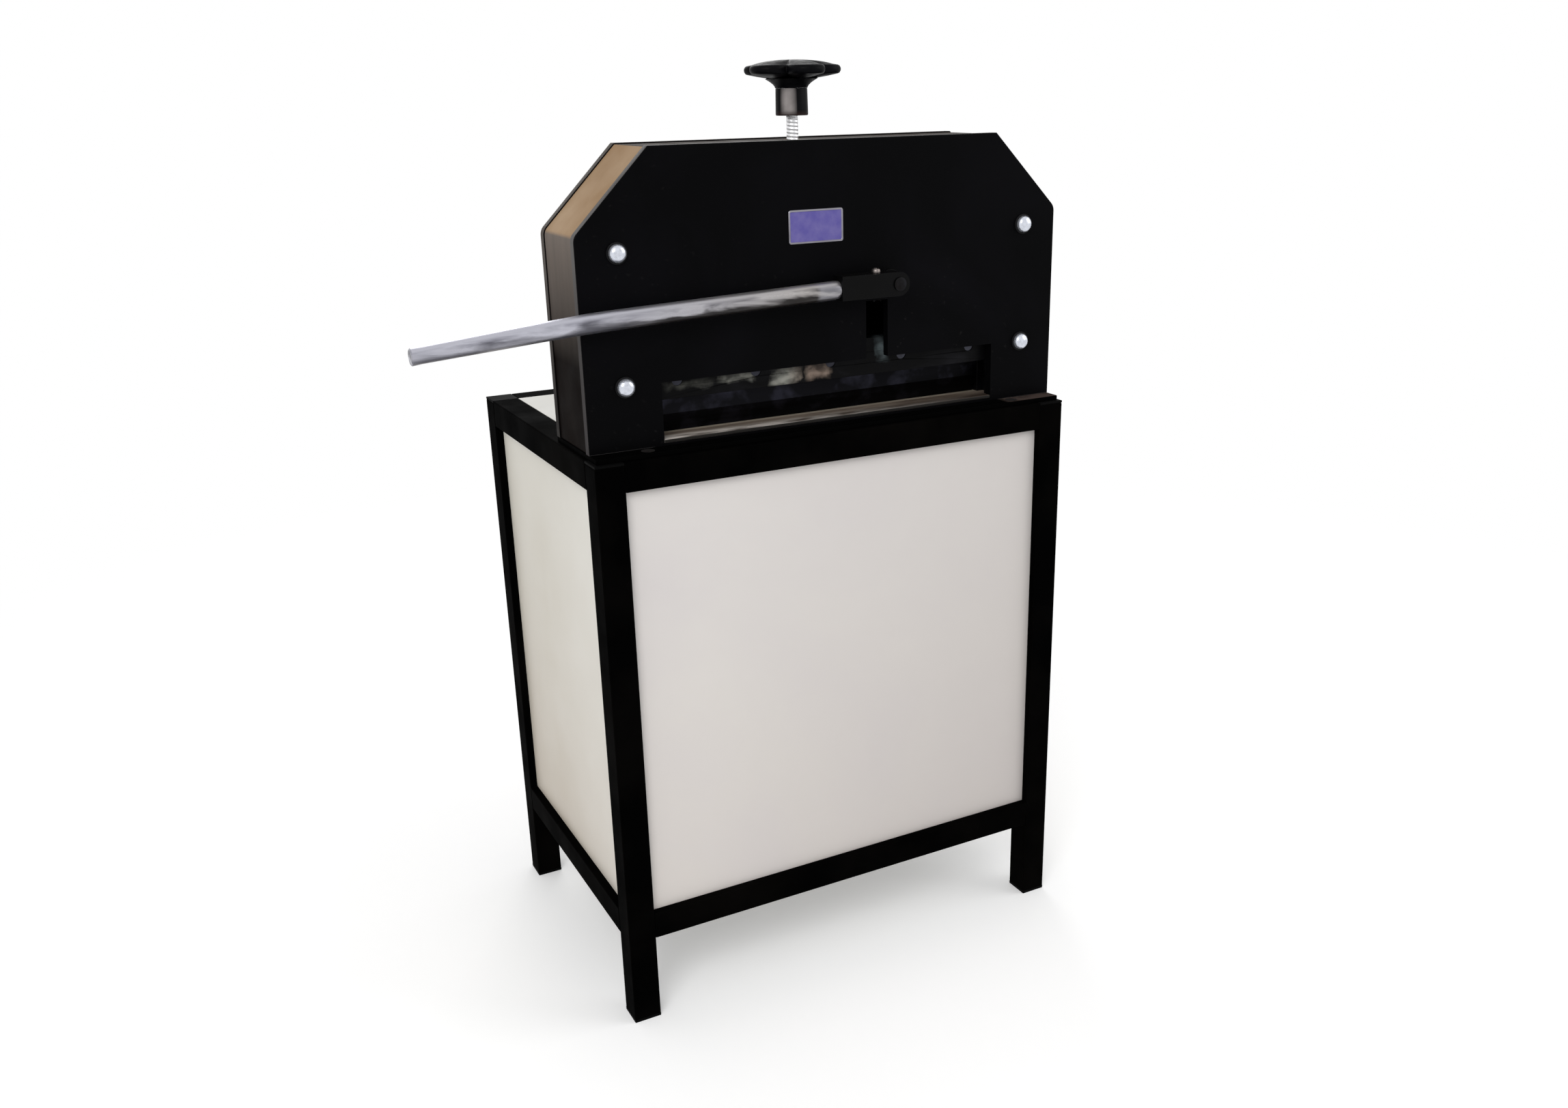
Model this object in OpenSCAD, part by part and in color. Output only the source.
/* [Stand] */
// Width of the stand beyond each side of the cutter's plates, mm
stand_side = 4; // [2:1:10]
// Depth of the stand over its legs, mm
stand_depth = 440; // [420:5:520]
// Height of the stand's flat top, mm
stand_height = 732; // [640:2:820]
// Side of the square tube, mm
tube_width = 35; // [30:1:38]
// Wall of the square tube, mm
tube_wall = 2; // [1.5:0.5:3]
// Height of the bottom rails' underside, mm
bottom_rail_height = 115; // [80:5:200]
// Thickness of each foot cap, mm
foot_thickness = 4; // [3:1:8]
// Length of the plug that enters the tube, mm
plug_length = 16; // [10:1:30]
// Thickness of the cap on each leg's top, mm
leg_cap = 3; // [2:0.5:5]
// Sheet of the panels, mm
panel_sheet = 1.5; // [1:0.25:2]
// Depth of the folded lip round each panel, mm
panel_lip = 14; // [8:1:20]
// Depth of the panels inside the frame's outer faces, mm
panel_recess = 10; // [0:1:15]

/* [Cutter frame] */
// Width of the plates beside the throat, mm
plate_side = 91; // [88:1:100]
// Height of the plates above the base plate, mm
frame_height = 329; // [315:1:345]
// Clear distance between the two plates, mm
frame_gap = 93; // [90:1:100]
// Thickness of the front and rear plates, mm
plate = 10; // [8:1:12]
// Set-back of the front plate from the stand's front, mm
frame_setback = 28; // [24:1:34]
// Width of the sloping top corner, mm
corner_width = 90; // [70:1:110]
// Height of the sloping top corner, mm
corner_height = 91; // [70:1:105]
// Radius where each side turns into the slope, mm
corner_bend = 14; // [8:1:30]
// Thickness of the base plate, mm
base_plate_thickness = 6; // [5:1:10]
// Width of the base plate's ledge before the front plate, mm
base_ledge = 22; // [20:1:24]
// Sheet of the covers, mm
cover_sheet = 3; // [2:0.5:4]
// Distance of the covers inside the plates' outline, mm
cover_inset = 1.5; // [0:0.5:3]

/* [Throat and bed] */
// Width of the throat, mm
throat_width = 450; // [430:2:460]
// Height of the throat above the bed, mm
throat_height = 66; // [62:1:70]
// Thickness of the bed plate, mm
bed_thickness = 7; // [6:0.5:9]
// Thickness of the bed's lips that pass through the plates, mm
bed_lip = 4; // [3:0.5:5]
// Width of the cutting stick, mm
stick_width = 12; // [8:1:12]
// Thickness of the cutting stick, mm
stick_thickness = 4; // [3:0.5:5]
// Width of the slot above the throat, mm
slot_width = 30; // [24:1:30]
// Height of the slot above the throat, mm
slot_height = 69; // [60:1:72]
// Distance of the slot's middle right of the centre line, mm
slot_offset = 57; // [50:1:57]

/* [Tie rods] */
// Distance of the tie rods inside the plates' sides, mm
tie_inset = 47.6; // [44:0.2:50]
// Height of the upper tie rods above the base plate, mm
tie_upper = 219; // [205:1:225]
// Height of the lower tie rods above the base plate, mm
tie_lower = 72.5; // [60:0.5:90]
// Diameter of the tie rods, mm
tie_rod = 12; // [10:1:12]
// Outer diameter of the spacer tubes, mm
spacer = 20; // [16:1:22]
// Diameter of the washers, mm
washer = 24; // [23:1:26]
// Thickness of the washers, mm
washer_thickness = 2; // [1:0.5:2.5]
// Diameter of the dome nuts, mm
dome_nut = 20; // [18:1:22]
// Height of the dome nuts, mm
dome_height = 8; // [7:0.5:9]
// Width of the rear nuts across their flats, mm
rear_nut = 19; // [18:1:20]
// Thickness of the rear nuts, mm
rear_nut_thickness = 10; // [6:1:12]

/* [Knife] */
// Travel of the knife, mm
knife_travel = 40; // [36:1:40]
// Gap between the front plate and the knife carrier, mm
carrier_gap = 4; // [3:0.5:5]
// Thickness of the knife carrier, mm
carrier_thickness = 16; // [14:1:17]
// Height of the knife carrier, mm
carrier_height = 45; // [38:1:45]
// Height of the carrier's underside above the bed, mm
carrier_rise = 43; // [38:1:43]
// Depth by which each carrier end enters its guide, mm
carrier_entry = 9; // [6:1:12]
// Play of the carrier in its guides, mm
guide_play = 0.2; // [0.15:0.05:0.4]
// Width of each knife guide, mm
guide_width = 26; // [20:1:28]
// Depth of each knife guide, mm
guide_depth = 30; // [27:1:34]
// Height of each knife guide, mm
guide_height = 155; // [140:1:170]
// Thickness of the knife, mm
knife_thickness = 8; // [6:0.5:9]
// Distance of the knife's ends inside the throat, mm
knife_end_gap = 2; // [1:0.5:4]
// Height of the knife's bevel, mm
knife_bevel = 22; // [16:1:30]
// Distance of the knife's top below the carrier's top, mm
knife_drop = 3; // [1:1:6]
// Diameter of the knife bolts' shanks, mm
knife_bolt = 8; // [6:1:8]
// Diameter of the knife bolts' heads, mm
knife_bolt_head = 13; // [11:1:14]
// Distance of the outer knife bolts from the knife's ends, mm
knife_bolt_inset = 23; // [15:1:40]

/* [Lever drive] */
// Distance of the lever's pivot right of the centre line, mm
pivot_offset = 68; // [64:1:70]
// Height of the lever's pivot above the base plate, mm
pivot_height = 164; // [164:1:168]
// Diameter of the lever shaft, mm
shaft = 16; // [14:1:18]
// Wall of the shaft's bushes, mm
bush_wall = 3; // [2:0.5:3]
// Diameter of the bushes' flanges, mm
bush_flange = 30; // [26:1:32]
// Thickness of the bushes' flanges, mm
bush_flange_thickness = 2.5; // [2:0.5:3]
// Teeth on the pinion
pinion_teeth = 16; // [16:1:16]
// Module of the pinion's teeth, mm
tooth_module = 3; // [2.8:0.1:3]
// Play between the teeth, mm
tooth_play = 0.3; // [0.2:0.05:0.5]
// Width of the pinion and the rack, mm
tooth_width = 12; // [9:1:12]
// Width of the rack's back behind its teeth, mm
rack_back = 18; // [14:1:20]
// Height of the rack above the carrier, mm
rack_height = 92; // [88:1:96]
// Width of the rack's foot, mm
rack_foot = 34; // [30:1:40]
// Thickness of the rack's foot, mm
rack_foot_thickness = 10; // [8:1:10]
// Depth of the lever block, mm
block_depth = 22; // [22:1:26]
// Height of the lever block, mm
block_height = 28; // [28:1:32]
// Length of the lever block left of the pivot, mm
block_reach = 77; // [70:1:90]
// Gap between the front plate and the lever block, mm
block_gap = 13; // [12:1:16]
// Diameter of the lever rod, mm
lever_rod_size = 22; // [20:1:24]
// Diameter of the lever rod at its tip, mm
lever_tip_size = 17.6; // [14:0.2:19]
// Diameter of the rod's end inside the block, mm
spigot = 16; // [12:1:17]
// Length of the rod's end inside the block, mm
spigot_length = 58; // [50:1:60]
// Length of the rod's straight part, mm
rod_straight = 304; // [250:2:340]
// Length of the rod's grip part, mm
rod_grip = 183; // [140:1:200]
// Slope of the rod's straight part, degrees
rod_slope = 2.15; // [1.5:0.05:3]
// Slope of the rod's grip part, degrees
grip_slope = 5.04; // [3:0.02:7]
// Diameter of the set screw's head, mm
set_screw_head = 10; // [9:1:12]
// Height of the set screw's head, mm
set_screw_height = 5; // [3:1:7]

/* [Clamp] */
// Distance of the clamp bar's ends inside the throat, mm
clamp_end_gap = 4; // [3:1:8]
// Gap between the knife and the clamp bar, mm
clamp_knife_gap = 3; // [2:0.5:4]
// Depth of the clamp bar, mm
clamp_depth = 46; // [40:1:46]
// Height of the clamp bar, mm
clamp_height = 44.7; // [40:0.1:50]
// Distance of the clamp screw left of the centre line, mm
clamp_screw_offset = 19; // [10:1:24]
// Diameter of the clamp screw, mm
clamp_screw_size = 14; // [12:1:18]
// Diameter of the clamp screw's foot, mm
screw_foot = 28; // [26:1:30]
// Thickness of the clamp screw's foot, mm
screw_foot_thickness = 8; // [6:1:10]
// Diameter of the keeper over the screw's foot, mm
keeper = 44; // [40:1:46]
// Thickness of the keeper, mm
keeper_thickness = 5; // [4:1:7]
// Diameter of the clamp's guide posts, mm
post = 14; // [12:1:16]
// Distance between the guide posts, mm
post_spacing = 300; // [280:5:320]
// Length of the guide posts above the clamp bar, mm
post_length = 222; // [216:1:224]
// Depth of the guide posts' seats in the clamp bar, mm
post_seat = 18; // [12:1:20]
// Width of the head block, mm
head_width = 346; // [340:2:360]
// Height of the head block's underside above the base plate, mm
head_rise = 234; // [233:1:236]
// Thickness of the head block, mm
head_thickness = 28; // [24:1:30]
// Diameter of the screw nut's body, mm
nut_body = 28; // [26:1:30]
// Diameter of the screw nut's flange, mm
nut_flange = 42; // [38:1:44]
// Thickness of the screw nut's flange, mm
nut_flange_thickness = 6; // [4:1:8]

/* [Clamp knob] */
// Height of bare screw between the top cover and the ferrule, mm
bare_screw = 26.5; // [22:0.5:30]
// Diameter of the ferrule and the knob's neck, mm
ferrule = 38; // [34:1:42]
// Height of the ferrule, mm
ferrule_height = 30; // [26:1:36]
// Height of the knob's neck, mm
neck_height = 11; // [8:1:14]
// Diameter of the flared neck where it meets the lobes, mm
neck_flare = 62; // [50:1:68]
// Diameter of the knob over its lobes, mm
knob = 117; // [106:1:126]
// Diameter of each lobe, mm
lobe = 43; // [36:1:46]
// Number of lobes
lobes = 5; // [5:1:6]
// Direction of the first lobe, degrees
lobe_direction = -17; // [-36:1:36]
// Thickness of the knob's rim, mm
rim_height = 14; // [10:1:18]
// Height of the knob's crown above its rim, mm
crown_height = 6; // [3:1:8]

/* [Nameplate] */
// Width of the nameplate, mm
nameplate_width = 71; // [60:1:80]
// Height of the nameplate, mm
nameplate_height = 38; // [32:1:42]
// Thickness of the nameplate, mm
nameplate_thickness = 1; // [0.8:0.1:1.5]
// Distance of the nameplate's middle left of the centre line, mm
nameplate_offset = 24; // [10:1:30]
// Height of the nameplate's middle above the base plate, mm
nameplate_rise = 233.5; // [225:0.5:240]

/* [Paper table] */
// Width of the paper table, mm
table_width = 432; // [400:2:448]
// Distance of the paper table's back edge inside the stand's back, mm
table_setback = 20; // [5:1:30]
// Thickness of the paper table, mm
table_thickness = 6; // [5:0.5:7]
// Width of the bearers under the table, mm
bearer_width = 12; // [8:1:20]
// Distance of the bearers from the centre line, mm
bearer_offset = 150; // [120:5:180]
// Width of the gauge slot, mm
gauge_slot = 10; // [9:0.5:12]
// Distance of the gauge slot's end inside the table's back edge, mm
gauge_slot_inset = 11.5; // [8:0.5:30]
// Travel of the back gauge, mm
gauge_travel = 150; // [120:5:155]
// Width of the back gauge, mm
gauge_width = 396; // [360:2:398]
// Height of the back gauge, mm
gauge_height = 30; // [24:1:40]
// Thickness of the back gauge's fence, mm
gauge_fence = 8; // [6:1:12]
// Length of the back gauge's foot, mm
gauge_foot = 40; // [36:1:46]
// Width of the back gauge's foot, mm
gauge_foot_width = 60; // [40:1:80]
// Thickness of the back gauge's foot, mm
gauge_foot_thickness = 8; // [6:1:10]
// Diameter of the gauge bolt, mm
gauge_bolt_size = 8; // [6:0.5:8]
// Width of the gauge bolt's head, mm
gauge_bolt_head = 24; // [20:1:28]
// Diameter of the gauge's lock knob, mm
gauge_knob_size = 34; // [28:1:34]
// Height of the gauge's lock knob, mm
gauge_knob_height = 20; // [16:1:26]

/* [Screws] */
// Diameter of the hold-down screws, mm
hold_down = 8; // [6:1:8]
// Diameter of the hold-down screws' heads, mm
hold_down_head = 16; // [14:1:16]
// Length of the hold-down screws, mm
hold_down_length = 22; // [20:1:26]
// Distance of the hold-down screws outside the throat's sides, mm
hold_down_outset = 25; // [20:1:32]
// Radial clearance of every shaft in its hole, mm
fit = 0.05; // [0.03:0.01:0.08]
// Gap under a piece that slides over another, mm
slide_gap = 0.3; // [0.2:0.05:0.5]

/* [Hidden] */
$fn = 64;
bend_steps = 8;
flank_steps = 5;
pressure_angle = 20;
rack_addendum = 0.9;
pinion_addendum = 1;
pinion_dedendum = 1.2;
rack_dedendum = 1.25;
over = 1;

half_throat = throat_width / 2;
half_frame = half_throat + plate_side;
half_width = half_frame + stand_side;
half_depth = stand_depth / 2;
panel_x = half_width - tube_width;
panel_y = half_depth - tube_width;
bottom_rail_top = bottom_rail_height + tube_width;
top_rail_base = stand_height - tube_width;
leg_top = stand_height - leg_cap;

base_top = stand_height + base_plate_thickness;
frame_top = base_top + frame_height;
plate_front = frame_setback - half_depth;
inner_front = plate_front + plate;
inner_back = inner_front + frame_gap;
plate_back = inner_back + plate;
base_front = plate_front - base_ledge;

bed_top = base_top + bed_thickness;
lip_base = bed_top - bed_lip;
throat_top = bed_top + throat_height;
slot_top = throat_top + slot_height;

tie_x = half_frame - tie_inset;
tie_heights = [base_top + tie_lower, base_top + tie_upper];
tie_bore = tie_rod / 2 + fit;
washer_front = plate_front - washer_thickness;
washer_back = plate_back + washer_thickness;
dome_seat = dome_height / 2;
dome_curve = (pow(dome_nut / 2, 2) + pow(dome_height, 2)) / (2 * dome_height);

carrier_front = inner_front + carrier_gap;
carrier_back = carrier_front + carrier_thickness;
carrier_base = bed_top + carrier_rise;
carrier_top = carrier_base + carrier_height;
carrier_half = half_throat + carrier_entry;
knife_back = carrier_back + knife_thickness;
knife_half = half_throat - knife_end_gap;
knife_top = carrier_top - knife_drop;
knife_base = bed_top + slide_gap;
guide_back = inner_front + guide_depth;
knife_bolt_z = (carrier_base + knife_top) / 2;
bolt_head_depth = carrier_thickness / 2;
knife_bolt_pitch = (knife_half - knife_bolt_inset) / 2;
knife_bolt_x = [for (i = [-2:2]) i * knife_bolt_pitch];
stick_y = knife_back;

pivot_z = base_top + pivot_height;
pitch_radius = pinion_teeth * tooth_module / 2;
base_radius = pitch_radius * cos(pressure_angle);
tip_radius = pitch_radius + pinion_addendum * tooth_module;
root_radius = pitch_radius - pinion_dedendum * tooth_module;
tooth_pitch = PI * tooth_module;
tooth_half = tooth_pitch / 4 - tooth_play / 4;
pitch_line = pivot_offset - pitch_radius;
rack_root = pitch_line - rack_dedendum * tooth_module;
rack_tip = pitch_line + rack_addendum * tooth_module;
rack_left = rack_root - rack_back;
tooth_front = carrier_front + (carrier_thickness - tooth_width) / 2;
tooth_back = tooth_front + tooth_width;
rack_foot_top = carrier_top + rack_foot_thickness;
teeth_below = -ceil((knife_travel + 2 * tooth_module) / tooth_pitch);
teeth_above = 2;
bush_radius = shaft / 2 + fit + bush_wall;
flange_front = inner_front + bush_flange_thickness;
flange_back = inner_back - bush_flange_thickness;
hub = bush_flange - 4;
collar = bush_flange - 2;
collar_width = 9;
shaft_proud = 2;
shaft_back = plate_back + slide_gap + collar_width + shaft_proud;
block_back = plate_front - block_gap;
block_front = block_back - block_depth;
block_left = pivot_offset - block_reach;
block_top = pivot_z + block_height / 2;
boss = bush_flange;
rod_y = (block_front + block_back) / 2;
rod_drop = 2;
rod_z = pivot_z - rod_drop;
rod_shoulder = lever_rod_size / 2 * tan(rod_slope) + fit;
set_screw_x = block_left + spigot_length - set_screw_head * 0.7;
set_screw = set_screw_head - 3;
set_screw_end = rod_z + spigot / 2 + (set_screw_x - block_left + set_screw) * tan(rod_slope) + slide_gap;

clamp_front = knife_back + clamp_knife_gap;
clamp_back = clamp_front + clamp_depth;
clamp_y = (clamp_front + clamp_back) / 2;
clamp_base = bed_top + slide_gap;
clamp_top = clamp_base + clamp_height;
clamp_half = half_throat - clamp_end_gap;
screw_radius = clamp_screw_size / 2;
foot_top = clamp_top - slide_gap;
foot_base = foot_top - screw_foot_thickness;
head_base = base_top + head_rise;
head_top = head_base + head_thickness;
ferrule_base = frame_top - cover_inset + bare_screw;
ferrule_top = ferrule_base + ferrule_height;
rim_base = ferrule_top + neck_height;
rim_top = rim_base + rim_height;
screw_top = rim_base + rim_height / 2;
lobe_ring = (knob - lobe) / 2;
cover_hole = clamp_screw_size / 2 + 3;

table_top = bed_top;
table_base = table_top - table_thickness;
table_back = half_depth - table_setback;
slot_back = table_back - gauge_slot_inset;
slot_front = slot_back - gauge_travel - gauge_slot;
gauge_bolt_y = (slot_front + slot_back) / 2;
gauge_rest = gauge_bolt_y - gauge_foot / 2 - gauge_fence;
gauge_base = table_top + slide_gap;
gauge_foot_top = gauge_base + gauge_foot_thickness;
gauge_head_top = table_base - slide_gap;
gauge_head_base = gauge_head_top - (table_base - stand_height) / 2;
gauge_knob_base = gauge_foot_top + slide_gap;
gauge_grip = gauge_knob_size * 0.32;
hold_down_offset = half_throat + hold_down_outset;
hold_down_front = (base_front + plate_front) / 2;
cross_rail_y = inner_back - tube_width;
hold_down_back = cross_rail_y + tube_width / 2;
sink_depth = (hold_down_head - hold_down) / 2;
rail_wall_top = stand_height - panel_sheet;

// A flat outline in x and z, made solid from its front y to its back y.
module along_y(front, back) {
    translate([0, back, 0])
        rotate([90, 0, 0])
            linear_extrude(height = back - front)
                children();
}

// A flat outline in y and z, made solid from its left x to its right x.
module along_x(left, right) {
    translate([left, 0, 0])
        rotate([90, 0, 90])
            linear_extrude(height = right - left)
                children();
}

// A box from its six limits.
module box(left, right, front, back, base, top) {
    translate([left, front, base])
        cube([right - left, back - front, top - base]);
}

// A round bar lying front to back.
module bar_y(x, z, radius, front, back) {
    translate([x, back, z])
        rotate([90, 0, 0])
            cylinder(r = radius, h = back - front);
}

// A round upright bar.
module bar_z(x, y, radius, base, top) {
    translate([x, y, base])
        cylinder(r = radius, h = top - base);
}

// A square tube that stands upright, open at both ends.
module tube_up(left, front, base, top) {
    difference() {
        box(left, left + tube_width, front, front + tube_width, base, top);
        box(left + tube_wall, left + tube_width - tube_wall,
            front + tube_wall, front + tube_width - tube_wall, base - over, top + over);
    }
}

// A square tube that lies left to right between the legs.
module tube_across(front, base) {
    difference() {
        box(-panel_x, panel_x, front, front + tube_width, base, base + tube_width);
        box(-panel_x - over, panel_x + over, front + tube_wall, front + tube_width - tube_wall,
            base + tube_wall, base + tube_width - tube_wall);
    }
}

// A square tube that lies front to back between the legs.
module tube_back(left, base) {
    difference() {
        box(left, left + tube_width, -panel_y, panel_y, base, base + tube_width);
        box(left + tube_wall, left + tube_width - tube_wall, -panel_y - over, panel_y + over,
            base + tube_wall, base + tube_width - tube_wall);
    }
}

// A panel that fills the space between two legs, folded back along its four edges.
module upright_panel(half) {
    difference() {
        box(-half, half, -panel_lip, 0, bottom_rail_top, top_rail_base);
        box(-half + panel_sheet, half - panel_sheet, -panel_lip - over, -panel_sheet,
            bottom_rail_top + panel_sheet, top_rail_base - panel_sheet);
    }
}

// Points of an arc that rounds corner b between a and c.
function unit(v) = v / norm(v);
function corner(a, b, c, r) =
    let (u = unit(a - b), w = unit(c - b),
         turn = acos(u * w) / 2,
         middle = b + unit(u + w) * r / sin(turn),
         first = b + u * r / tan(turn) - middle,
         last = b + w * r / tan(turn) - middle,
         sweep = acos(min(1, (first * last) / (r * r))))
    [for (i = [0:bend_steps])
        let (k = i / bend_steps)
        middle + (first * sin((1 - k) * sweep) + last * sin(k * sweep)) / sin(sweep)];

// Right half of the frame's outline, moved inward by d: side foot, bend, slope top.
slope = sqrt(corner_width * corner_width + corner_height * corner_height);
function side_foot(d) = [half_frame - d, base_top];
function side_top(d) =
    [half_frame - d, frame_top - corner_height - d * (slope - corner_height) / corner_width];
function slope_top(d) =
    [half_frame - corner_width - d * (slope - corner_width) / corner_height, frame_top - d];
function half_outline(d) =
    concat([side_foot(d)],
           corner(side_foot(d), side_top(d), slope_top(d), corner_bend - d),
           [slope_top(d)]);
function flipped(points) = [for (i = [len(points) - 1:-1:0]) [-points[i][0], points[i][1]]];
function turned(points) = [for (i = [len(points) - 1:-1:0]) points[i]];

module frame_outline() {
    polygon(concat(half_outline(0), flipped(half_outline(0))));
}

module rectangle(left, right, base, top) {
    translate([left, base])
        square([right - left, top - base]);
}

// Outline shared by both plates: throat, tie-rod holes and the shaft's hole.
module plate_outline() {
    difference() {
        frame_outline();
        rectangle(-half_throat, half_throat, lip_base, throat_top);
        for (x = [-tie_x, tie_x])
            for (z = tie_heights)
                translate([x, z])
                    circle(r = tie_bore);
        translate([pivot_offset, pivot_z])
            circle(r = bush_radius + fit);
    }
}

module cover_outline() {
    polygon(concat(half_outline(cover_inset), turned(half_outline(cover_inset + cover_sheet))));
}

// Screw holes shared by the base plate, the top panel and the rails.
module hold_down_holes(base, top) {
    for (x = [-hold_down_offset, hold_down_offset])
        for (y = [hold_down_front, hold_down_back])
            bar_z(x, y, hold_down / 2 + fit, base, top);
}

module foot_plug(x, y, plate_base, plate_top, plug_base, plug_top) {
    box(x, x + tube_width, y, y + tube_width, plate_base, plate_top);
    box(x + tube_wall, x + tube_width - tube_wall,
        y + tube_wall, y + tube_width - tube_wall, plug_base, plug_top);
}

module four_corners() {
    for (x = [-half_width, panel_x])
        for (y = [-half_depth, panel_y])
            translate([x, y, 0])
                children();
}

// Flank angle of a pinion tooth at radius r, from the tooth's middle.
function roll(a) = tan(a) * 180 / PI - a;
function flank(r) =
    tooth_half / pitch_radius * 180 / PI + roll(pressure_angle) - roll(acos(min(1, base_radius / r)));
function ray(r, a) = [r * cos(a), r * sin(a)];
function pinion_tooth(a) =
    concat([ray(root_radius, a - flank(base_radius))],
           [for (i = [0:flank_steps])
               let (r = base_radius + (tip_radius - base_radius) * i / flank_steps)
               ray(r, a - flank(r))],
           [for (i = [flank_steps:-1:0])
               let (r = base_radius + (tip_radius - base_radius) * i / flank_steps)
               ray(r, a + flank(r))],
           [ray(root_radius, a + flank(base_radius))]);
pinion_points = [for (i = [0:pinion_teeth - 1])
                     for (p = pinion_tooth(180 + (i + 0.5) * 360 / pinion_teeth)) p];

// One tooth of the rack, with its middle at height z.
root_half = tooth_half + rack_dedendum * tooth_module * tan(pressure_angle);
tip_half = tooth_half - rack_addendum * tooth_module * tan(pressure_angle);
module rack_tooth(z) {
    polygon([[rack_root - over, z - root_half], [rack_root, z - root_half], [rack_tip, z - tip_half],
             [rack_tip, z + tip_half], [rack_root, z + root_half], [rack_root - over, z + root_half]]);
}

module leg_front_left() {
    color("dimgray") tube_up(-half_width, -half_depth, foot_thickness, leg_top);
}

module leg_front_right() {
    color("dimgray") tube_up(panel_x, -half_depth, foot_thickness, leg_top);
}

module leg_rear_left() {
    color("dimgray") tube_up(-half_width, panel_y, foot_thickness, leg_top);
}

module leg_rear_right() {
    color("dimgray") tube_up(panel_x, panel_y, foot_thickness, leg_top);
}

module top_rail_front() {
    color("dimgray") difference() {
        tube_across(-half_depth, top_rail_base);
        hold_down_holes(stand_height - tube_width / 2, stand_height + over);
    }
}

module top_rail_rear() {
    color("dimgray") tube_across(panel_y, top_rail_base);
}

module top_rail_left() {
    color("dimgray") tube_back(-half_width, top_rail_base);
}

module top_rail_right() {
    color("dimgray") tube_back(panel_x, top_rail_base);
}

module bottom_rail_front() {
    color("dimgray") tube_across(-half_depth, bottom_rail_height);
}

module bottom_rail_rear() {
    color("dimgray") tube_across(panel_y, bottom_rail_height);
}

module bottom_rail_left() {
    color("dimgray") tube_back(-half_width, bottom_rail_height);
}

module bottom_rail_right() {
    color("dimgray") tube_back(panel_x, bottom_rail_height);
}

// Rail under the top panel that carries the back of the cutter.
module cross_rail() {
    color("dimgray") difference() {
        tube_across(cross_rail_y, rail_wall_top - tube_width);
        hold_down_holes(rail_wall_top - tube_width / 2, rail_wall_top + over);
    }
}

// Plastic caps at both ends of every leg; the four lower ones are the feet.
module tube_caps() {
    color("black") four_corners() {
        foot_plug(0, 0, 0, foot_thickness, foot_thickness, foot_thickness + plug_length);
        foot_plug(0, 0, leg_top, stand_height, leg_top - plug_length, leg_top);
    }
}

module front_panel() {
    color("gainsboro") translate([0, panel_recess - half_depth, 0]) rotate([0, 0, 180]) upright_panel(panel_x);
}

module rear_panel() {
    color("gainsboro") translate([0, half_depth - panel_recess, 0]) upright_panel(panel_x);
}

module left_panel() {
    color("gainsboro") translate([panel_recess - half_width, 0, 0]) rotate([0, 0, 90]) upright_panel(panel_y);
}

module right_panel() {
    color("gainsboro") translate([half_width - panel_recess, 0, 0]) rotate([0, 0, -90]) upright_panel(panel_y);
}

// Sheet top between the four top rails, folded down at its front and back edges.
module top_panel() {
    color("gainsboro") difference() {
        box(-panel_x, panel_x, -panel_y, panel_y, stand_height - panel_lip, stand_height);
        box(-panel_x - over, panel_x + over, -panel_y + panel_sheet, panel_y - panel_sheet,
            stand_height - panel_lip - over, stand_height - panel_sheet);
        hold_down_holes(stand_height - 2 * panel_sheet, stand_height + over);
    }
}

module bottom_shelf() {
    color("gainsboro") difference() {
        box(-panel_x, panel_x, -panel_y, panel_y, bottom_rail_top - panel_lip, bottom_rail_top);
        box(-panel_x + panel_sheet, panel_x - panel_sheet, -panel_y + panel_sheet, panel_y - panel_sheet,
            bottom_rail_top - panel_lip - over, bottom_rail_top - panel_sheet);
    }
}

module base_plate() {
    color("#222222") difference() {
        box(-half_frame, half_frame, base_front, plate_back, stand_height, base_top);
        hold_down_holes(stand_height - over, base_top + over);
        for (x = [-hold_down_offset, hold_down_offset])
            for (y = [hold_down_front, hold_down_back])
                translate([x, y, base_top - sink_depth])
                    cylinder(r1 = hold_down / 2 + fit, r2 = hold_down_head / 2 + fit, h = sink_depth);
    }
}

module hold_down_screws() {
    color("#333333")
        for (x = [-hold_down_offset, hold_down_offset])
            for (y = [hold_down_front, hold_down_back]) {
                bar_z(x, y, hold_down / 2, base_top - hold_down_length, base_top - sink_depth);
                translate([x, y, base_top - sink_depth])
                    cylinder(r1 = hold_down / 2, r2 = hold_down_head / 2, h = sink_depth);
            }
}

// Front plate: the throat below, and the slot above it that shows the knife carrier.
module front_plate() {
    color("#1a1a1c") along_y(plate_front, inner_front) difference() {
        plate_outline();
        rectangle(slot_offset - slot_width / 2, slot_offset + slot_width / 2,
                  throat_top - over, slot_top);
    }
}

module rear_plate() {
    color("#1a1a1c") along_y(inner_back, plate_back) plate_outline();
}

module right_cover() {
    color("#4a4540") along_y(inner_front, inner_back) cover_outline();
}

module left_cover() {
    color("#4a4540") mirror([1, 0, 0]) along_y(inner_front, inner_back) cover_outline();
}

module top_cover() {
    color("#4a4540") difference() {
        along_y(inner_front, inner_back)
            polygon([slope_top(cover_inset), slope_top(cover_inset + cover_sheet),
                     [-slope_top(cover_inset + cover_sheet)[0], slope_top(cover_inset + cover_sheet)[1]],
                     [-slope_top(cover_inset)[0], slope_top(cover_inset)[1]]]);
        bar_z(-clamp_screw_offset, clamp_y, cover_hole, frame_top - cover_inset - cover_sheet - over,
              frame_top);
    }
}

module each_tie() {
    for (x = [-tie_x, tie_x])
        for (z = tie_heights)
            translate([x, 0, z])
                children();
}

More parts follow.
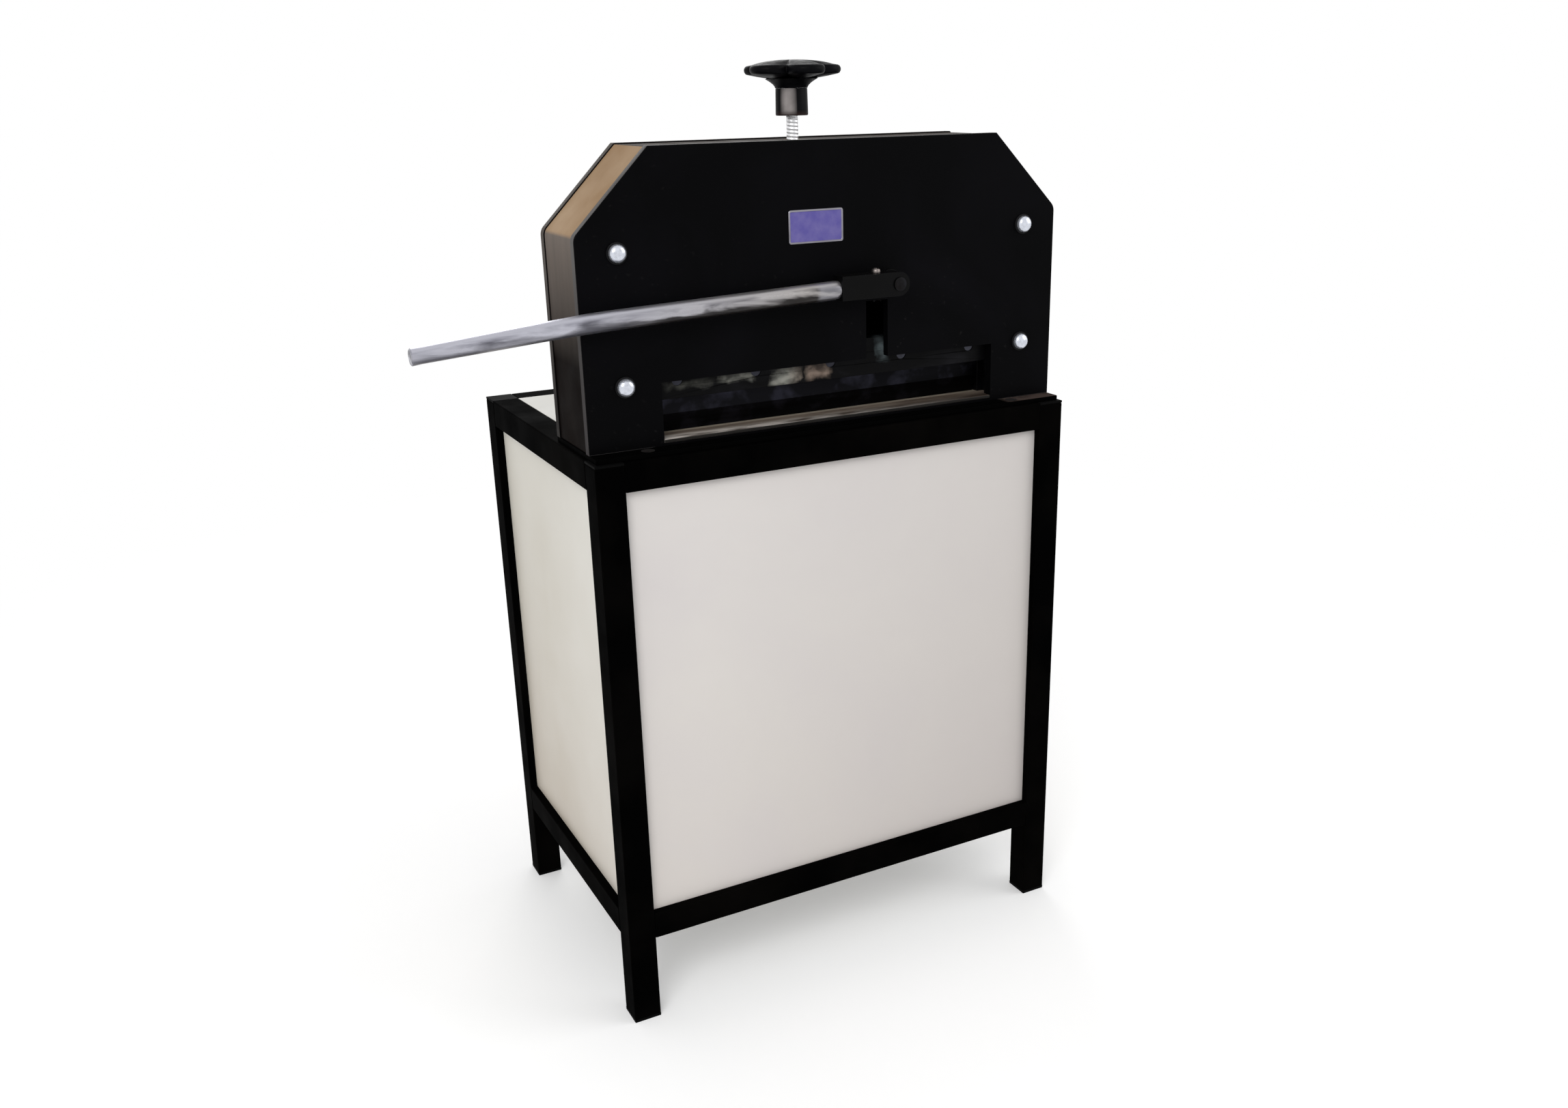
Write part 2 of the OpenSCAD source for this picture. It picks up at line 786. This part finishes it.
module tie_rods() {
    color("silver") each_tie()
        bar_y(0, 0, tie_rod / 2, washer_front - dome_seat, washer_back + rear_nut_thickness + over);
}

module spacer_tubes() {
    color("gray") each_tie() difference() {
        bar_y(0, 0, spacer / 2, inner_front, inner_back);
        bar_y(0, 0, tie_bore, inner_front - over, inner_back + over);
    }
}

module tie_washers() {
    color("silver") each_tie() {
        difference() {
            bar_y(0, 0, washer / 2, washer_front, plate_front);
            bar_y(0, 0, tie_bore, washer_front - over, plate_front + over);
        }
        difference() {
            bar_y(0, 0, washer / 2, plate_back, washer_back);
            bar_y(0, 0, tie_bore, plate_back - over, washer_back + over);
        }
    }
}

module dome_nuts() {
    color("white") each_tie() difference() {
        intersection() {
            translate([0, washer_front - dome_height + dome_curve, 0])
                sphere(r = dome_curve);
            bar_y(0, 0, dome_nut, washer_front - 2 * dome_height, washer_front);
        }
        bar_y(0, 0, tie_bore, washer_front - dome_seat, washer_front + over);
    }
}

module rear_nuts() {
    color("silver") each_tie() difference() {
        translate([0, washer_back + rear_nut_thickness, 0])
            rotate([90, 0, 0])
                cylinder(r = rear_nut / sqrt(3), h = rear_nut_thickness, $fn = 6);
        bar_y(0, 0, tie_bore, washer_back - over, washer_back + rear_nut_thickness + over);
    }
}

// Bed: a thick plate between the frame plates, with a thinner lip through each of them.
module bed_plate() {
    color("tan") difference() {
        union() {
            box(-carrier_half - guide_width, carrier_half + guide_width, inner_front, inner_back,
                base_top, bed_top);
            box(-half_throat + fit, half_throat - fit, plate_front, plate_back, lip_base, bed_top);
        }
        box(-half_throat, half_throat, stick_y - stick_width / 2, stick_y + stick_width / 2,
            bed_top - stick_thickness, bed_top + over);
    }
}

module cutting_stick() {
    color("burlywood")
        box(-half_throat, half_throat, stick_y - stick_width / 2, stick_y + stick_width / 2,
            bed_top - stick_thickness, bed_top);
}

// Upright guide whose groove holds the carrier's right end.
module one_guide() {
    difference() {
        box(half_throat, half_throat + guide_width, inner_front, guide_back,
            bed_top, bed_top + guide_height);
        box(half_throat - over, carrier_half + slide_gap, carrier_front - guide_play,
            carrier_back + guide_play, bed_top - over, bed_top + guide_height + over);
    }
}

module knife_guides() {
    color("gray") {
        one_guide();
        mirror([1, 0, 0]) one_guide();
    }
}

// Carrier: a flat steel beam, with a pocket for each bolt head.
module knife_carrier() {
    color("lightsteelblue") difference() {
        box(-carrier_half, carrier_half, carrier_front, carrier_back, carrier_base, carrier_top);
        for (x = knife_bolt_x) {
            bar_y(x, knife_bolt_z, knife_bolt / 2 + fit, carrier_front - over, carrier_back + over);
            bar_y(x, knife_bolt_z, knife_bolt_head / 2 + fit, carrier_front - over,
                  carrier_front + bolt_head_depth);
        }
    }
}

module knife_blade() {
    color("silver") difference() {
        along_x(-knife_half, knife_half)
            polygon([[knife_back, knife_base], [knife_back, knife_top], [carrier_back, knife_top],
                     [carrier_back, knife_base + knife_bevel]]);
        for (x = knife_bolt_x)
            bar_y(x, knife_bolt_z, knife_bolt / 2 + fit, carrier_back - over, knife_back + over);
    }
}

// Bolts that hold the knife, each with a head sunk in the carrier.
module knife_bolts() {
    color("gray")
        for (x = knife_bolt_x) {
            bar_y(x, knife_bolt_z, knife_bolt_head / 2, carrier_front + over,
                  carrier_front + bolt_head_depth);
            bar_y(x, knife_bolt_z, knife_bolt / 2, carrier_front + bolt_head_depth,
                  knife_back - slide_gap);
        }
}

// Rack that stands on the carrier, with a foot to its left.
module knife_rack() {
    color("steelblue") along_y(tooth_front, tooth_back) intersection() {
        union() {
            rectangle(rack_left, rack_root, carrier_top, carrier_top + rack_height);
            rectangle(rack_left - rack_foot, rack_left + over, carrier_top, rack_foot_top);
            for (i = [teeth_below:teeth_above])
                rack_tooth(pivot_z + i * tooth_pitch);
        }
        rectangle(rack_left - rack_foot, rack_tip + over, carrier_top, carrier_top + rack_height);
    }
}

module lever_pinion() {
    color("steelblue") translate([pivot_offset, 0, pivot_z]) difference() {
        union() {
            along_y(tooth_front, tooth_back) polygon(pinion_points);
            bar_y(0, 0, hub / 2, flange_front + slide_gap, tooth_front + over);
        }
        bar_y(0, 0, shaft / 2 + fit, flange_front - over, tooth_back + over);
    }
}

module lever_shaft() {
    color("silver") bar_y(pivot_offset, pivot_z, shaft / 2, block_front - shaft_proud, shaft_back);
}

module bush(body_front, body_back, rim_front, rim_back) {
    translate([pivot_offset, 0, pivot_z]) difference() {
        union() {
            bar_y(0, 0, bush_radius, body_front, body_back);
            bar_y(0, 0, bush_flange / 2, rim_front, rim_back);
        }
        bar_y(0, 0, shaft / 2 + fit, body_front - over - bush_flange_thickness,
              body_back + over + bush_flange_thickness);
    }
}

module shaft_bushes() {
    color("goldenrod") {
        bush(plate_front, inner_front, inner_front, flange_front);
        bush(inner_back, plate_back, flange_back, inner_back);
    }
}

module shaft_collar() {
    color("gray") difference() {
        bar_y(pivot_offset, pivot_z, collar / 2, plate_back + slide_gap,
              plate_back + slide_gap + collar_width);
        bar_y(pivot_offset, pivot_z, shaft / 2 + fit, plate_back,
              plate_back + slide_gap + collar_width + over);
    }
}

// Places a piece of the lever rod: x runs to the left along the rod from the block's face.
module rod_place() {
    translate([block_left, rod_y, rod_z])
        rotate([0, -90 - rod_slope, 0])
            children();
}

module lever_block() {
    color("#2a2a2c") difference() {
        union() {
            box(block_left, pivot_offset, block_front, block_back,
                pivot_z - block_height / 2, block_top);
            bar_y(pivot_offset, pivot_z, block_height / 2, block_front, block_back);
            bar_y(pivot_offset, pivot_z, boss / 2, block_back, plate_front - slide_gap);
        }
        bar_y(pivot_offset, pivot_z, shaft / 2 + fit, block_front - over, plate_front);
        rod_place()
            translate([0, 0, -spigot_length - over])
                cylinder(r = spigot / 2 + fit, h = spigot_length + 2 * over);
        bar_z(set_screw_x, rod_y, set_screw / 2 + fit, rod_z, block_top + over);
    }
}

// Lever: a turned spigot, a long straight bar and a slimmer grip that bends down.
module lever_rod() {
    color("silver") rod_place() {
        translate([0, 0, -spigot_length])
            cylinder(r = spigot / 2, h = spigot_length + over);
        translate([0, 0, rod_shoulder])
            cylinder(r = lever_rod_size / 2, h = rod_straight - rod_shoulder);
        translate([0, 0, rod_straight]) {
            sphere(r = lever_rod_size / 2);
            rotate([0, rod_slope - grip_slope, 0]) {
                cylinder(r1 = lever_rod_size / 2, r2 = lever_tip_size / 2, h = rod_grip);
                translate([0, 0, rod_grip])
                    sphere(r = lever_tip_size / 2);
            }
        }
    }
}

module rod_set_screw() {
    color("white") {
        bar_z(set_screw_x, rod_y, set_screw / 2, set_screw_end, block_top);
        bar_z(set_screw_x, rod_y, set_screw_head / 2, block_top, block_top + set_screw_height);
    }
}

module each_post() {
    for (x = [-post_spacing / 2, post_spacing / 2])
        translate([x, clamp_y, 0])
            children();
}

// Clamp bar: seats for two posts and a pocket for the screw's foot.
module clamp_bar() {
    color("#303032") difference() {
        box(-clamp_half, clamp_half, clamp_front, clamp_back, clamp_base, clamp_top);
        each_post() bar_z(0, 0, post / 2 + fit, clamp_top - post_seat, clamp_top + over);
        bar_z(-clamp_screw_offset, clamp_y, screw_foot / 2 + fit, foot_base - slide_gap,
              clamp_top + over);
    }
}

module clamp_posts() {
    color("silver") each_post()
        bar_z(0, 0, post / 2, clamp_top - post_seat, clamp_top + post_length);
}

module screw_keeper() {
    color("gray") difference() {
        bar_z(-clamp_screw_offset, clamp_y, keeper / 2, clamp_top, clamp_top + keeper_thickness);
        bar_z(-clamp_screw_offset, clamp_y, screw_radius + fit, clamp_top - over,
              clamp_top + keeper_thickness + over);
    }
}

module clamp_screw() {
    color("silver") {
        bar_z(-clamp_screw_offset, clamp_y, screw_foot / 2, foot_base, foot_top);
        bar_z(-clamp_screw_offset, clamp_y, screw_radius, foot_top, screw_top);
    }
}

module screw_nut() {
    color("goldenrod") difference() {
        union() {
            bar_z(-clamp_screw_offset, clamp_y, nut_body / 2, head_base, head_top);
            bar_z(-clamp_screw_offset, clamp_y, nut_flange / 2, head_top,
                  head_top + nut_flange_thickness);
        }
        bar_z(-clamp_screw_offset, clamp_y, screw_radius + fit, head_base - over,
              head_top + nut_flange_thickness + over);
    }
}

// Head block between the plates: it carries the screw nut and guides the posts.
module head_block() {
    color("#303032") difference() {
        box(-head_width / 2, head_width / 2, inner_front, inner_back, head_base, head_top);
        each_post() bar_z(0, 0, post / 2 + fit, head_base - over, head_top + over);
        bar_z(-clamp_screw_offset, clamp_y, nut_body / 2 + fit, head_base - over, head_top + over);
    }
}

module knob_ferrule() {
    color("#404042") difference() {
        bar_z(-clamp_screw_offset, clamp_y, ferrule / 2, ferrule_base, ferrule_top);
        bar_z(-clamp_screw_offset, clamp_y, screw_radius + fit, ferrule_base - over,
              ferrule_top + over);
    }
}

// Lobed knob: a flared neck, a ring of round lobes round a disc, and a low crown.
module clamp_knob() {
    color("black") translate([-clamp_screw_offset, clamp_y, 0]) difference() {
        union() {
            bar_z(0, 0, ferrule / 2, ferrule_top, rim_base + over);
            translate([0, 0, ferrule_top])
                cylinder(r1 = ferrule / 2, r2 = neck_flare / 2, h = neck_height);
            bar_z(0, 0, lobe_ring, rim_base, rim_top);
            for (i = [0:lobes - 1])
                rotate([0, 0, lobe_direction + i * 360 / lobes])
                    bar_z(lobe_ring, 0, lobe / 2, rim_base, rim_top);
            translate([0, 0, rim_top])
                cylinder(r1 = lobe_ring, r2 = lobe_ring / 2, h = crown_height);
        }
        bar_z(0, 0, screw_radius + fit, ferrule_top - over, screw_top + fit);
    }
}

module nameplate() {
    color("slateblue") along_y(plate_front - nameplate_thickness, plate_front)
        translate([-nameplate_offset, base_top + nameplate_rise])
            square([nameplate_width, nameplate_height], center = true);
}

// Paper table behind the frame, level with the bed, with a slot for the back gauge.
module rear_table() {
    color("tan") difference() {
        box(-table_width / 2, table_width / 2, plate_back, table_back, table_base, table_top);
        box(-gauge_slot / 2, gauge_slot / 2, slot_front, slot_back, table_base - over, table_top + over);
    }
}

module table_bearers() {
    color("dimgray")
        for (x = [-bearer_offset, bearer_offset])
            box(x - bearer_width / 2, x + bearer_width / 2, plate_back, table_back,
                stand_height, table_base);
}

// Back gauge: a fence across the table with a foot behind it.
module back_gauge() {
    color("#303032") difference() {
        union() {
            box(-gauge_width / 2, gauge_width / 2, gauge_rest, gauge_rest + gauge_fence,
                gauge_base, gauge_base + gauge_height);
            box(-gauge_foot_width / 2, gauge_foot_width / 2, gauge_rest,
                gauge_rest + gauge_fence + gauge_foot, gauge_base, gauge_foot_top);
        }
        bar_z(0, gauge_bolt_y, gauge_bolt_size / 2 + fit, gauge_base - over, gauge_foot_top + over);
    }
}

module gauge_bolt() {
    color("silver") {
        box(-gauge_bolt_head / 2, gauge_bolt_head / 2, gauge_bolt_y - gauge_bolt_head / 2,
            gauge_bolt_y + gauge_bolt_head / 2, gauge_head_base, gauge_head_top);
        bar_z(0, gauge_bolt_y, gauge_bolt_size / 2, gauge_head_top,
              gauge_knob_base + gauge_knob_height / 2);
    }
}

module gauge_knob() {
    color("black") translate([0, gauge_bolt_y, 0]) difference() {
        union() {
            bar_z(0, 0, gauge_grip, gauge_knob_base, gauge_knob_base + gauge_knob_height / 2);
            for (i = [0:2])
                rotate([0, 0, 90 + i * 120])
                    bar_z(gauge_knob_size / 2 - gauge_grip / 2, 0, gauge_grip / 2,
                          gauge_knob_base + gauge_knob_height / 2, gauge_knob_base + gauge_knob_height);
            bar_z(0, 0, gauge_grip, gauge_knob_base + gauge_knob_height / 2,
                  gauge_knob_base + gauge_knob_height);
        }
        bar_z(0, 0, gauge_bolt_size / 2 + fit, gauge_knob_base - over,
              gauge_knob_base + gauge_knob_height / 2 + fit);
    }
}

leg_front_left();
leg_front_right();
leg_rear_left();
leg_rear_right();
top_rail_front();
top_rail_rear();
top_rail_left();
top_rail_right();
bottom_rail_front();
bottom_rail_rear();
bottom_rail_left();
bottom_rail_right();
cross_rail();
tube_caps();
front_panel();
rear_panel();
left_panel();
right_panel();
top_panel();
bottom_shelf();
base_plate();
hold_down_screws();
front_plate();
rear_plate();
left_cover();
right_cover();
top_cover();
tie_rods();
spacer_tubes();
tie_washers();
dome_nuts();
rear_nuts();
bed_plate();
cutting_stick();
knife_guides();
knife_carrier();
knife_blade();
knife_bolts();
knife_rack();
lever_pinion();
lever_shaft();
shaft_bushes();
shaft_collar();
lever_block();
lever_rod();
rod_set_screw();
clamp_bar();
clamp_posts();
screw_keeper();
clamp_screw();
screw_nut();
head_block();
knob_ferrule();
clamp_knob();
nameplate();
rear_table();
table_bearers();
back_gauge();
gauge_bolt();
gauge_knob();
